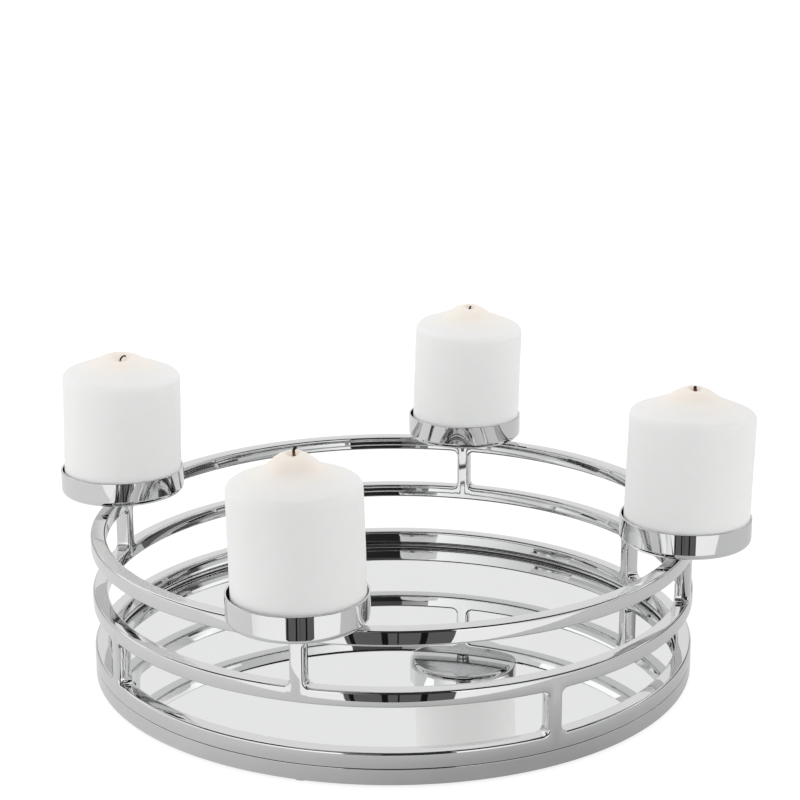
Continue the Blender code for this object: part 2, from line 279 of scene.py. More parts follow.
def cut_mesh(mesh, cutters):
    """The mesh with the cutters' shapes taken out of it."""
    body = linked_object("uncut", mesh)
    tools = [linked_object("cutter", cutter) for cutter in cutters]
    for tool in tools:
        cut = body.modifiers.new("Cut", "BOOLEAN")
        cut.operation = "DIFFERENCE"
        cut.solver = "EXACT"
        cut.object = tool
    result = bpy.data.meshes.new_from_object(body.evaluated_get(bpy.context.evaluated_depsgraph_get()))
    for item in tools + [body]:
        bpy.data.objects.remove(item, do_unlink=True)
    return result


def polish_turned(mesh, outline, agreement=0.8):
    """Give a cut, turned mesh the exact normals of its outline, and leave the walls of its cuts flat.

    A wall of a cut is known by its own normal, which agrees less than this with the outline's.
    """
    mesh.shade_smooth()
    count = len(outline)
    normals = []
    for face in mesh.polygons:
        for corner in face.vertices:
            co = mesh.vertices[corner].co
            flat = Vector((math.hypot(co.x, co.y), co.z))
            best = (1e9, None)
            for i in range(count):
                (a, first), (b, second) = outline[i], outline[(i + 1) % count]
                near, share = geometry.intersect_point_line(flat, a, b) if a != b else (a, 0.0)
                share = min(max(share, 0.0), 1.0)
                near = Vector(a).lerp(Vector(b), share)
                away = (flat - near).length
                if away < best[0]:
                    best = (away, first.lerp(second, share).normalized())
            outward = polar(best[1].x, math.atan2(co.y, co.x), best[1].y)
            normals.append(outward if outward.dot(face.normal) > agreement else face.normal)
    mesh.normals_split_custom_set(normals)


# Finishes

def scaled(colour, factor):
    """A colour made lighter or darker."""
    return tuple(min(max(channel * factor, 0.0), 1.0) for channel in colour)


class Nodes:
    """Adds nodes to a tree. Their inputs are given as values or as other nodes' outputs."""

    def __init__(self, tree):
        self.tree = tree
        self.coordinates = self.add("TexCoord").outputs
        self.place = self.coordinates["Object"]

    def feed(self, socket, value):
        """Give an input a value or another node's output."""
        if isinstance(value, bpy.types.NodeSocket):
            self.tree.links.new(value, socket)
        else:
            socket.default_value = value

    def add(self, kind, values=None, **settings):
        """A new node, with its settings, and its inputs by name or number."""
        node = self.tree.nodes.new("ShaderNode" + kind)
        for name, value in settings.items():
            setattr(node, name, value)
        for name, value in (values or {}).items():
            self.feed(node.inputs[name], value)
        return node

    def maths(self, operation, first, second, **settings):
        """What a maths operation makes of two numbers."""
        return self.add("Math", {0: first, 1: second}, operation=operation, **settings).outputs[0]

    def split(self, vector):
        """The three parts of a vector."""
        return self.add("SeparateXYZ", {"Vector": vector}).outputs

    def distance(self, point):
        """Distance from a point on the object."""
        return self.add("VectorMath", {0: self.place, 1: point}, operation="DISTANCE").outputs["Value"]

    def grain(self, scale, detail=3.0, roughness=0.5, place=None):
        """Noise at a scale given in cycles a metre."""
        place = self.place if place is None else place
        values = {"Vector": place, "Scale": scale, "Detail": detail, "Roughness": roughness}
        return self.add("TexNoise", values).outputs["Fac"]

    def spread(self, source, low, high, start=0.0, end=1.0, **settings):
        """A value between low and high, as the source goes from start to end."""
        values = {"Value": source, "From Min": start, "From Max": end, "To Min": low, "To Max": high}
        return self.add("MapRange", values, **settings).outputs["Result"]

    def blend(self, factor, *colours):
        """A colour between two colours or sockets."""
        a, b = [c if isinstance(c, bpy.types.NodeSocket) else (*c, 1.0) for c in colours]
        return self.add("Mix", {"Factor": factor, "A": a, "B": b}, data_type="RGBA").outputs["Result"]

    def ramp(self, source, levels):
        """Grey levels, each with its position along the source."""
        made = self.add("ValToRGB", {"Fac": source})
        stops = made.color_ramp.elements
        for i, (position, level) in enumerate(levels):
            stop = stops[i] if i < 2 else stops.new(1.0)
            stop.position = position
            stop.color = (level, level, level, 1.0)
        return made.outputs["Color"]

    def shades(self, factor, colour, first, second):
        """A colour between two shades of one colour."""
        return self.blend(factor, scaled(colour, first), scaled(colour, second))


class Finish(Nodes):
    """The nodes of a new Principled material."""

    def __init__(self, name, metallic=0.0):
        self.material = bpy.data.materials.new(name)
        self.material.use_nodes = True
        super().__init__(self.material.node_tree)
        self.shader = self.tree.nodes["Principled BSDF"]
        self.set("Metallic", metallic)

    def set(self, name, value):
        """Give one of the shader's inputs a value or another node's output."""
        self.feed(self.shader.inputs[name], value)

    def surface(self, colour, roughness, relief=None, depth=0.0, strength=1.0):
        """The material, once it has its colour, roughness and relief, with a depth in metres."""
        self.set("Base Color", colour)
        self.set("Roughness", roughness)
        if relief is not None:
            made = self.add("Bump", {"Height": relief, "Distance": depth, "Strength": strength})
            self.set("Normal", made.outputs["Normal"])
        return self.material


def polished_metal(settings, name="polished_plating", waves=55.0, depth=0.03 * MM):
    """Bright plating with the unevenness that hand polishing leaves: its waves to the metre and its depth."""
    finish = Finish(name, metallic=1.0)
    haze = finish.grain(45.0, 4.0)
    swirl = finish.grain(900.0, 2.0)
    rough = finish.spread(swirl, settings.roughness * 0.6, settings.roughness * 1.5, 0.3, 0.7)
    return finish.surface(
        finish.shades(haze, settings.colour, 0.97, 1.03), rough, finish.grain(waves, 1.0), depth)


def satin_metal(settings):
    """The same plating over a face that was ground but not buffed, with fine marks in one direction."""
    finish = Finish("satin_plating", metallic=1.0)
    haze = finish.grain(45.0, 4.0)
    along = finish.add("VectorMath", {0: finish.place, 1: (1.0, 0.04, 1.0)}, operation="MULTIPLY")
    marks = finish.grain(1800.0, 3.0, place=along.outputs["Vector"])
    return finish.surface(
        finish.shades(haze, settings.colour, 0.95, 1.03), finish.spread(marks, 0.10, 0.20, 0.3, 0.7),
        marks, 0.002 * MM)


def mirror_glass(settings):
    """Silvered glass, with the finest haze of dust."""
    finish = Finish("silvered_glass", metallic=1.0)
    dust = finish.grain(60.0, 5.0, 0.7)
    thick = finish.spread(dust, 0.0, 1.0, 0.35, 0.75)
    return finish.surface(
        finish.shades(thick, settings.mirror_colour, 1.0, 0.985), finish.spread(dust, 0.004, 0.02, 0.4, 0.8))


def pressed_board(settings):
    """Dark pressed board, with its flattened fibres."""
    finish = Finish("pressed_fibres")
    fibres = finish.grain(700.0, 6.0, 0.75)
    dark = finish.shades(fibres, settings.board_colour, 0.55, 1.6)
    light = finish.shades(fibres, settings.board_colour, 0.75, 1.9)
    return finish.surface(
        finish.blend(finish.grain(40.0, 3.0), dark, light), finish.spread(fibres, 0.6, 0.85),
        fibres, 0.1 * MM, 0.6)


def painted_gap_shade():
    """Black painted shade of the gap where the mirror meets the tray's inner wall, with fine marks along it.
    """
    finish = Finish("gap_shade_black")
    marks = finish.grain(1400.0, 5.0)
    return finish.surface(
        finish.blend(marks, (0.012, 0.012, 0.012), (0.07, 0.07, 0.07)), finish.spread(marks, 0.25, 0.5),
        marks, 0.03 * MM)


def felt(settings):
    """Dense wool felt."""
    finish = Finish("wool_felt")
    wool = finish.grain(2600.0, 6.0, 0.7)
    finish.set("Sheen Weight", 0.4)
    return finish.surface(finish.shades(wool, settings.felt_colour, 0.75, 1.25), 0.95, wool, 0.15 * MM)


def screw_steel():
    """Plain zinc-plated steel."""
    finish = Finish("zinc_plating", metallic=1.0)
    marks = finish.grain(1500.0, 4.0)
    return finish.surface(
        finish.blend(marks, (0.42, 0.42, 0.43), (0.56, 0.56, 0.55)), finish.spread(marks, 0.18, 0.38),
        marks, 0.01 * MM)


def candle_wax(settings, name, crest):
    """White paraffin wax, faintly mottled, with a painted glow of the flame's light: warmer round the wick at
    the crest of the candle.
    """
    finish = Finish(name)
    mottle = finish.grain(110.0, 4.0, 0.6)
    plain = finish.shades(mottle, settings.wax_colour, 0.985, 1.015)
    # Painted glow of the flame, strongest near the wick and fading outward, in uneven patches
    middle = crest - Vector((0.0, 0.0, 6.0 * MM))
    flame_light = finish.spread(
        finish.distance(middle), 1.0, 0.0, 4.0 * MM, settings.flame_glow_reach, interpolation_type="SMOOTHSTEP")
    cloud = finish.spread(finish.grain(55.0, 2.0), 0.75, 1.2, 0.3, 0.7)
    share = finish.maths("MULTIPLY", flame_light, cloud, use_clamp=True)
    finish.set("Subsurface Weight", 0.35)
    finish.set("Subsurface Radius", (1.0, 0.8, 0.6))
    finish.set("Subsurface Scale", 6.0 * MM)
    pits = finish.grain(380.0, 5.0, 0.65)
    return finish.surface(
        finish.blend(share, plain, settings.flame_glow_colour), finish.spread(mottle, 0.42, 0.55),
        pits, 0.06 * MM, 0.5)


def burnt_wick(settings, name, foot, wick_glow_reach):
    """Braided cotton, charred above the wax. It leaves the wax at foot, and is brown, a painted glow of the
    flame, as far up as the last argument reaches.
    """
    finish = Finish(name)
    ash = finish.grain(2400.0, 4.0, 0.7)
    charred = finish.shades(ash, settings.char_colour, 0.6, 3.0)
    # Painted glow of the flame at the wick's foot, giving way to the char above it
    above = finish.spread(finish.split(finish.place)["Z"], 0.0, 1.0, foot, foot + wick_glow_reach)
    return finish.surface(finish.blend(above, settings.wick_glow_colour, charred), 0.9, ash, 0.15 * MM)


# The welded frame, made as one eighth and repeated

def arc_steps(start, end, steps):
    """Evenly spaced angles from start to end, both included."""
    return [start + (end - start) * step / steps for step in range(steps + 1)]


class FrameSector:
    """One eighth of the rings and posts: half an upper post at its start and half a lower post at its end.

    A place on the rings is an angle round the wreath and a height. A path is a list of such places on
    the edge of the metal, each with the direction that the edge faces.
    """

    span = math.pi / 4
    divisions = RING_SEGMENTS // 8
    fillet_steps = 6
    side_steps = 4
    # How far the faces, the upper and lower walls and the posts' sides turn towards their edges
    outer_crown = math.radians(6.0)
    inner_crown = math.radians(2.5)
    wall_crown = math.radians(3.0)
    post_crown = math.radians(12.0)
    # Walls that face sideways by more than this share, at and beside the posts, are polished by hand
    hand_polished = 0.3
    # Points nearer to each other than this, in metres, are one point of a filled face
    tolerance = 1e-7

    def __init__(self, settings):
        self.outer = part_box("top_rail")[1].x
        self.inner = self.outer - settings.bar_width
        self.middle = (self.outer + self.inner) / 2
        self.rounding = settings.edge_rounding
        self.groove = settings.groove_rounding
        self.fillet = settings.weld_fillet
        self.half_post = settings.post_width / 2 / self.middle

    def level_path(self, height, facing):
        """The whole upper or lower edge."""
        return [(angle, height, 0.0, facing) for angle in arc_steps(0.0, self.span, self.divisions)]

    def window_path(self, opening, side, low, high):
        """The wall of half a window, from its middle along its lower edge, up at the post and back."""
        reach = math.copysign(1.0, side - opening)
        corner = side - reach * self.fillet / self.middle
        step = self.span / self.divisions
        level = [step * i for i in range(self.divisions + 1)]
        level = [a for a in level if (a - opening) * reach >= 0 and (corner - a) * reach > step / 3]
        level.sort(key=lambda a: abs(a - opening))
        path = [(a, low, 0.0, 1.0) for a in level]

        def on_fillet(centre, across, up):
            return corner - across * self.fillet / self.middle, centre - up * self.fillet, across, up

        turns = arc_steps(0.0, QUARTER, self.fillet_steps)
        floor, ceiling = low + self.fillet, high - self.fillet
        path += [on_fillet(floor, -reach * math.sin(turn), math.cos(turn)) for turn in turns]
        path += [(side, height, -reach, 0.0) for height in arc_steps(floor, ceiling, self.side_steps)[1:-1]]
        path += [on_fillet(ceiling, -reach * math.cos(turn), -math.sin(turn)) for turn in turns]
        path += [(a, high, 0.0, -1.0) for a in reversed(level)]
        return path

    def edge_profile(self, rounding, across):
        """Rounded edge, wall and rounded edge, from the outer face to the inner one.

        Each entry is a depth into the metal, a radius, and the share of the edge's own direction and of
        the outward direction in the normal. The rounding is that of the outer edge. Polishing has left
        the faces a little crowned, the posts' sides (with a high share across) more than the rest.
        """
        profile = []
        wall = self.wall_crown + (self.post_crown - self.wall_crown) * abs(across)
        for turn in arc_steps(self.outer_crown, QUARTER - wall, EDGE_STEPS):
            profile.append((rounding * (1 - math.sin(turn)), self.outer - rounding * (1 - math.cos(turn)),
                            math.sin(turn), math.cos(turn)))
        inside = self.rounding
        for turn in arc_steps(wall, QUARTER - self.inner_crown, EDGE_STEPS):
            profile.append((inside * (1 - math.cos(turn)), self.inner + inside * (1 - math.sin(turn)),
                            math.cos(turn), -math.sin(turn)))
        return profile

    def build(self, shape, outward, place):
        """Add the sector's mesh; place turns an angle round the sector into one round the wreath."""
        low = {name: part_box(name)[0].z for name in ("bottom_rail", "middle_rail", "top_rail")}
        high = {name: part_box(name)[1].z for name in low}
        foot = self.level_path(low["bottom_rail"], -1.0)
        crown = self.level_path(high["top_rail"], 1.0)
        upper = self.window_path(self.span, self.half_post, high["middle_rail"], low["top_rail"])
        lower = self.window_path(0.0, self.span - self.half_post, high["bottom_rail"], low["middle_rail"])
        loops = [self.sweep(shape, outward, place, path, rounding)
                 for path, rounding in ((foot, self.groove), (upper, self.rounding),
                                        (crown, self.rounding), (lower, self.rounding))]
        for face in (0, -1):
            foot_edge, upper_edge, crown_edge, lower_edge = [[row[face] for row in loop] for loop in loops]
            rim = foot_edge + upper_edge + crown_edge[::-1] + lower_edge[::-1]
            self.fill(shape, rim)

    def sweep(self, shape, outward, place, path, rounding):
        """Rows of vertices along a path, one for each point of the edge profile, joined by faces."""
        rows = []
        for angle, height, across, up in path:
            row = []
            for depth, radius, share, radial in self.edge_profile(rounding, across):
                turned = angle - across * depth / self.middle
                where, mirrored = place(turned)
                vert = shape.verts.new(polar(radius, where, height - up * depth))
                along = share * across * mirrored
                sideways = polar(radial, where) + polar(along, where + QUARTER)
                vert[outward] = sideways + Vector((0, 0, share * up))
                row.append((vert, (turned * self.middle, height - up * depth)))
            rows.append(row)
        for i, (first, second) in enumerate(zip(rows, rows[1:])):
            for k in range(len(first) - 1):
                face = shape.faces.new((first[k][0], first[k + 1][0], second[k + 1][0], second[k][0]))
                if abs(path[i][2]) > self.hand_polished and k >= EDGE_STEPS - 2:
                    face.material_index = 1
        return rows

    def fill(self, shape, rim):
        """Triangles inside a rim of vertices with their flat places."""
        flat = [Vector(place) for _, place in rim]
        count = len(rim)
        edges = [(i, (i + 1) % count) for i in range(count)]
        _, _, triangles, origins, *_ = geometry.delaunay_2d_cdt(flat, edges, [], 1, self.tolerance)
        for face in triangles:
            shape.faces.new([rim[origins[i][0]][0] for i in face])


def welded_frame_mesh(settings, gap=0.002 * MM):
    """The rings and posts as one continuous piece, its eight sectors joined where they meet within a gap."""
    shape = bmesh.new()
    outward = shape.verts.layers.float_vector.new("outward")
    sector = FrameSector(settings)
    for number in NUMBERS:
        post = -QUARTER + QUARTER * (number - 1)
        for mirrored in (1.0, -1.0):
            sector.build(shape, outward, lambda a, p=post, m=mirrored: (p + m * a, m))
    bmesh.ops.remove_doubles(shape, verts=shape.verts, dist=gap)
    bmesh.ops.recalc_face_normals(shape, faces=shape.faces)
    normals = [Vector(vert[outward]).normalized() for vert in shape.verts]
    shape.verts.layers.float_vector.remove(outward)
    mesh = shape_mesh("welded_frame", shape)
    mesh.shade_smooth()
    mesh.normals_split_custom_set_from_vertices(normals)
    return mesh


# Screws

SCREW_HEAD = 0.9 * MM
HEAD_ROUNDING = 0.45 * MM
SCREW_SHANK = 1.5 * MM
SCREW_HOLE = 1.8 * MM
THREAD_PITCH = 0.7 * MM
THREAD_DEPTH = 0.22 * MM
# Where the thread starts below the head, and how far above the tip it ends
THREAD_START = 0.9 * MM
THREAD_END = 0.3 * MM
# Rows of faces in one turn of the thread, and how far from both ends of the shank they keep
THREAD_ROWS = 6
PLAIN_SHANK = 1.0 * MM
# A screw's edges are sharp where its faces meet at more than this
SCREW_CREASE = math.radians(40.0)
# The recess: its reach and depth as shares of the head, its arms' width as a share of the reach, its taper
CROSS_REACH = 0.6
CROSS_DEPTH = 0.75
CROSS_WIDTH = 0.34
CROSS_TAPER = 0.45


def cross_cutter(reach, depth, top):
    """Two crossed tapering bars, for the recess in a screw's head."""
    cutters = []
    for across in (0, 1):
        shape = bmesh.new()
        bmesh.ops.create_cube(shape, size=1.0)
        for vert in shape.verts:
            upper = vert.co.z > 0
            long_side = vert.co.x * 2 * reach * (1.0 if upper else CROSS_TAPER)
            short_side = vert.co.y * reach * CROSS_WIDTH
            vert.co = Vector((long_side, short_side, top + (0.1 * MM if upper else -depth)))
        bmesh.ops.rotate(shape, verts=shape.verts, matrix=Matrix.Rotation(QUARTER * across, 3, "Z"))
        cutters.append(shape_mesh("cross", shape))
    return cutters


def screw_mesh(name, node):
    """A pan-headed screw that points down, with its thread, its head's underside at the origin."""
    head_radius, length = round_size(node)
    shank = length - SCREW_HEAD
    rows = int((shank - PLAIN_SHANK) / (THREAD_PITCH / THREAD_ROWS))
    outline = rounded_outline([
        (0.0, SCREW_HEAD, 0.0),
        (head_radius, SCREW_HEAD, HEAD_ROUNDING),
        (head_radius, 0.0, FINE_EDGE),
        (SCREW_SHANK, 0.0, FINE_EDGE),
        (SCREW_SHANK, -THREAD_START, 0.05 * MM),
    ] + [(SCREW_SHANK, -PLAIN_SHANK - (shank - 2 * PLAIN_SHANK) * i / rows, 0.0) for i in range(rows)] + [
        (SCREW_SHANK - 0.1 * MM, -shank + 0.4 * MM, 0.05 * MM),
        (SCREW_SHANK - 0.5 * MM, -shank, FINE_EDGE),
        (0.0, -shank, 0.0),
    ], steps=2, closed=False)

    def warp(co):
        radius = math.hypot(co.x, co.y)
        if radius < ON_AXIS or co.z > -THREAD_START or co.z < -shank + THREAD_END:
            return co
        angle = math.atan2(co.y, co.x)
        phase = (co.z / THREAD_PITCH - angle / (2 * math.pi)) % 1.0
        groove = THREAD_DEPTH * abs(2 * phase - 1)
        return polar(radius - groove, angle, co.z)

    mesh = turned_mesh(name, outline, SMALL_SEGMENTS, closed=False, warp=warp)
    cut = cut_mesh(mesh, cross_cutter(head_radius * CROSS_REACH, SCREW_HEAD * CROSS_DEPTH, SCREW_HEAD))
    cut.shade_smooth()
    cut.set_sharp_from_angle(angle=SCREW_CREASE)
    return cut


# Candles

# How far a burnt top has sunk below its crest, at radii of a candle 40 mm in radius
MELTED_SLOPE = ((5.0, 0.2), (7.0, 0.7), (9.0, 1.5), (13.0, 3.7), (17.0, 6.55), (21.0, 8.3), (26.0, 10.2),
                (31.0, 12.4), (35.0, 13.8), (38.0, 15.2), (39.6, 17.0), (40.0, 19.5))
STEEPER_SLOPE = ((5.0, 0.2), (7.0, 0.85), (9.0, 1.9), (13.0, 4.8), (17.0, 8.5), (21.0, 10.7), (26.0, 12.6),
                 (31.0, 14.4), (35.0, 16.1), (38.0, 17.6), (39.6, 19.9), (40.0, 22.6))
FLATTER_SLOPE = ((9.5, 3.4), (12.0, 3.9), (14.5, 5.0), (17.0, 6.6), *MELTED_SLOPE[5:])

# Each candle, in millimetres and degrees, with right and near as the camera sees it: the crest's height and
# slope, its radius below and above, how deep the pool at the wick is and how far its rim dips on the near
# side, how far the candle stands to the right and leans there, how its top rises to the right and away, and
# the wick: how far to the right and how high it passes, how thick it is and how far up it is brown with the
# painted glow of the flame
CANDLE_FORMS = {
    1: {"crest": 97.55, "slope": STEEPER_SLOPE, "foot": 39.4, "head": 39.2, "pool": 2.3, "dip": 1.2,
        "shift": 1.0, "lean": -1.35, "rise_right": -0.45, "rise_away": 0.0, "thickness": 1.75, "wick_glow_reach": 3.0,
        "wick": ((0.65, 95.2), (0.7, 97.2), (0.85, 98.9), (1.25, 99.7), (2.5, 99.9))},
    2: {"crest": 98.6, "slope": MELTED_SLOPE, "foot": 40.1, "head": 39.8, "pool": 2.9, "dip": 1.6,
        "shift": 0.3, "lean": 1.43, "rise_right": -0.06, "rise_away": -2.2, "thickness": 2.1, "wick_glow_reach": 2.4,
        "wick": ((0.3, 95.7), (0.35, 97.4), (0.25, 99.2))},
    3: {"crest": 97.75, "slope": MELTED_SLOPE, "foot": 39.8, "head": 39.5, "pool": 3.0, "dip": 1.6,
        "shift": 0.5, "lean": 1.75, "rise_right": -0.31, "rise_away": 2.06, "thickness": 1.5, "wick_glow_reach": 0.6,
        "wick": ((0.0, 94.75), (0.25, 95.8), (0.85, 97.1))},
    4: {"crest": 96.65, "slope": FLATTER_SLOPE, "foot": 40.1, "head": 39.8, "pool": 7.2, "dip": 1.8,
        "shift": 0.25, "lean": 1.3, "rise_right": -0.77, "rise_away": 1.3, "thickness": 1.15, "wick_glow_reach": 0.8,
        "wick": ((-0.85, 89.3), (-0.45, 90.7), (0.45, 92.3), (1.9, 93.2), (3.3, 92.8))},
}

# The pool round a wick: radii as shares of its rim's, and how far its floor has risen there to the rim
POOL_FORM = ((0.0, 0.0), (0.3, 0.03), (0.62, 0.5))
# Rows of faces down a candle's side, and the hollow in its base
SIDE_ROWS = 24
BASE_HOLLOW = 12.0 * MM
BASE_HOLLOW_DEPTH = 2.0 * MM
# Unevenness of the wax, each as cycles a metre and a height in millimetres
SLOW_SWELL = (28.0, 0.16)
FINE_SWELL = (120.0, 0.05)
MELTED_SWELL = (90.0, 0.3)
# Each candle takes its unevenness from another place in the noise, this far on for each candle
DRIFT = (3.7, 1.9, 5.3)
# How far from the pool's rim the wax has run, and how wide the rim's dip is, as a share of its radius
MELTED_REACH = 6.0 * MM
DIP_WIDTH = 0.6
# Up to here a candle is plain, so that it clears its cup, and over the next stretch it grows uneven
PLAIN_TOP = 15.5 * MM
SWELL_STRETCH = 10.0 * MM
# Inside this share of its radius a candle's top is uneven in height too
TOP_SHARE = 0.95
# Between these heights a candle's slant sets in
SLANT_START = 40.0 * MM
SLANT_END = 80.0 * MM
# A wick reaches this far down into the wax
WICK_ROOT = 4.0 * MM
# Its strands, the share by which they stand out, and the length in which they make one turn
WICK_SIDES = 18
WICK_STRANDS = 3
STRAND_DEPTH = 0.1
WICK_TURN = 4.0 * MM
# Above the wax it is thinner by this share after this length, and its tip has this share of its thickness
CHAR_LOSS = 0.12
CHAR_LENGTH = 4.0 * MM
WICK_TIP = 0.6
# Unevenness of the charred cotton, as cycles a metre and a share of its radius
CHAR_SWELL = (900.0, 0.16)
# A wick's edges are sharp where its faces meet at more than this
WICK_CREASE = math.radians(60.0)


def candle_outline(form, base_corner):
    """Outline of a candle from the axis over the crest and down the side to its base, as points only."""
    rim, rim_drop = form["slope"][0]
    pool = form["pool"]
    share = form["head"] / form["slope"][-1][0]
    top = [(part * rim, (1 - rise) * pool + rise * rim_drop) for part, rise in POOL_FORM]
    top += [(radius * share, drop) for radius, drop in form["slope"]]
    points = smooth_curve([Vector((radius, form["crest"] - drop)) * MM for radius, drop in top], 4)
    head, foot = form["head"] * MM, form["foot"] * MM
    for rows_left in range(SIDE_ROWS, 0, -1):
        height = points[-1].y + (base_corner - points[-1].y) / rows_left
        points.append(Vector((foot + (head - foot) * height / (form["crest"] * MM), height)))
    for turn in arc_steps(0.0, QUARTER, 4)[1:]:
        points.append(Vector((foot - base_corner * (1 - math.cos(turn)), base_corner * (1 - math.sin(turn)))))
    return points + [Vector((BASE_HOLLOW, 0.0)), Vector((BASE_HOLLOW, BASE_HOLLOW_DEPTH)),
                     Vector((0.0, BASE_HOLLOW_DEPTH))]


def candle_mesh(settings, form, seed):
    """A pillar candle whose top has melted a little round its wick."""
    points = [(point, Vector((1.0, 0.0))) for point in candle_outline(form, settings.base_corner)]
    drift = Vector([seed * step for step in DRIFT])
    rim = form["slope"][0][0] * MM
    rise_right, rise_away = [math.tan(math.radians(form[name])) for name in ("rise_right", "rise_away")]

    def warp(co):
        if co.z < PLAIN_TOP:
            return co
        across = math.hypot(co.x, co.y)
        off_axis = across > ON_AXIS
        slow = SLOW_SWELL[1] * noise.noise(co * SLOW_SWELL[0] + drift)
        fine = FINE_SWELL[1] * noise.noise(co * FINE_SWELL[0] + drift)
        swell = (slow + fine) * MM * min((co.z - PLAIN_TOP) / SWELL_STRETCH, 1.0)
        melted = max(0.0, 1.0 - abs(across - rim) / MELTED_REACH)
        cycles, height = MELTED_SWELL
        uneven = height * MM * melted * noise.noise(Vector((co.x * cycles, co.y * cycles, seed)) + drift)
        near = max(-co.y / across, 0.0) ** 2 if off_axis else 0.0
        dip = form["dip"] * MM * near * math.exp(-((across - rim) / (DIP_WIDTH * rim)) ** 2)
        part = min(max((co.z - SLANT_START) / (SLANT_END - SLANT_START), 0.0), 1.0)
        slant = (rise_right * co.x + rise_away * co.y) * part
        outward = Vector((co.x, co.y, 0.0)).normalized() if off_axis else Vector()
        on_top = co.z > SLANT_END and across < form["head"] * MM * TOP_SHARE
        lift = uneven + (swell if on_top else 0.0) - dip + slant
        return co + outward * swell + Vector((0.0, 0.0, lift))

    return turned_mesh("candle", points, CUP_SEGMENTS, closed=False, warp=warp)


def wick_path(form):
    """Middle line of a wick, from inside the wax to its tip."""
    knots = [Vector((right, 0.0, height)) * MM for right, height in form["wick"]]
    knots.insert(0, knots[0] - Vector((0.0, 0.0, WICK_ROOT)))
    return smooth_curve(knots, 6)


def wick_mesh(path, foot, thickness):
    """A braided wick along its middle line, thinner where it is charred, with a frayed tip."""
    verts = []
    travelled = 0.0
    frame_x = Vector((1.0, 0.0, 0.0))
    last = len(path) - 1
    for i, point in enumerate(path):
        tangent = (path[min(i + 1, last)] - path[max(i - 1, 0)]).normalized()
        frame_x = (frame_x - tangent * frame_x.dot(tangent)).normalized()
        frame_y = tangent.cross(frame_x)
        if i:
            travelled += (point - path[i - 1]).length
        above = max(point.z - foot, 0.0)
        radius = thickness / 2 * (1.0 - CHAR_LOSS * min(above / CHAR_LENGTH, 1.0))
        radius *= WICK_TIP if i == last else 1.0
        for k in range(WICK_SIDES):
            angle = 2 * math.pi * k / WICK_SIDES
            strand = 1.0 + STRAND_DEPTH * math.cos(WICK_STRANDS * angle - 2 * math.pi * travelled / WICK_TURN)
            rough = noise.noise(point * CHAR_SWELL[0] + Vector((angle, 0, 0)))
            char = 1.0 + (CHAR_SWELL[1] * rough if above > 0 else 0.0)
            spoke = frame_x * math.cos(angle) + frame_y * math.sin(angle)
            verts.append(point + spoke * radius * strand * char)
    faces = [list(range(WICK_SIDES))[::-1], [last * WICK_SIDES + k for k in range(WICK_SIDES)]]
    for start in range(0, last * WICK_SIDES, WICK_SIDES):
        for k in range(WICK_SIDES):
            j = (k + 1) % WICK_SIDES
            faces.append([start + k, start + j, start + WICK_SIDES + j, start + WICK_SIDES + k])
    mesh = plain_mesh("wick", verts, faces)
    mesh.shade_smooth()
    mesh.set_sharp_from_angle(angle=WICK_CREASE)
    return mesh


# Operators, one for each group of pieces

def shared_finish(name, make, *settings):
    """A material that several operators use, made once."""
    return bpy.data.materials.get(name) or make(*settings)


class WREATH_OT_frame(bpy.types.Operator):
    """Weld the rings and posts into one polished frame"""

    bl_idname = "wreath.frame"
    bl_label = "Ring Frame"

    def execute(self, context):
        settings = context.scene.wreath_metal
        metal = shared_finish("polished_plating", polished_metal, settings)
        nodes = ["top_rail", "middle_rail", "bottom_rail"]
        nodes += [f"{tier}_post_{number}" for tier in ("upper", "lower") for number in NUMBERS]
        piece = put("ring_frame", welded_frame_mesh(settings), metal, "polished_metal", nodes)
        by_hand = polished_metal(settings, "hand_polished_plating", waves=170.0, depth=0.12 * MM)
        piece.data.materials.append(by_hand)
        return {"FINISHED"}


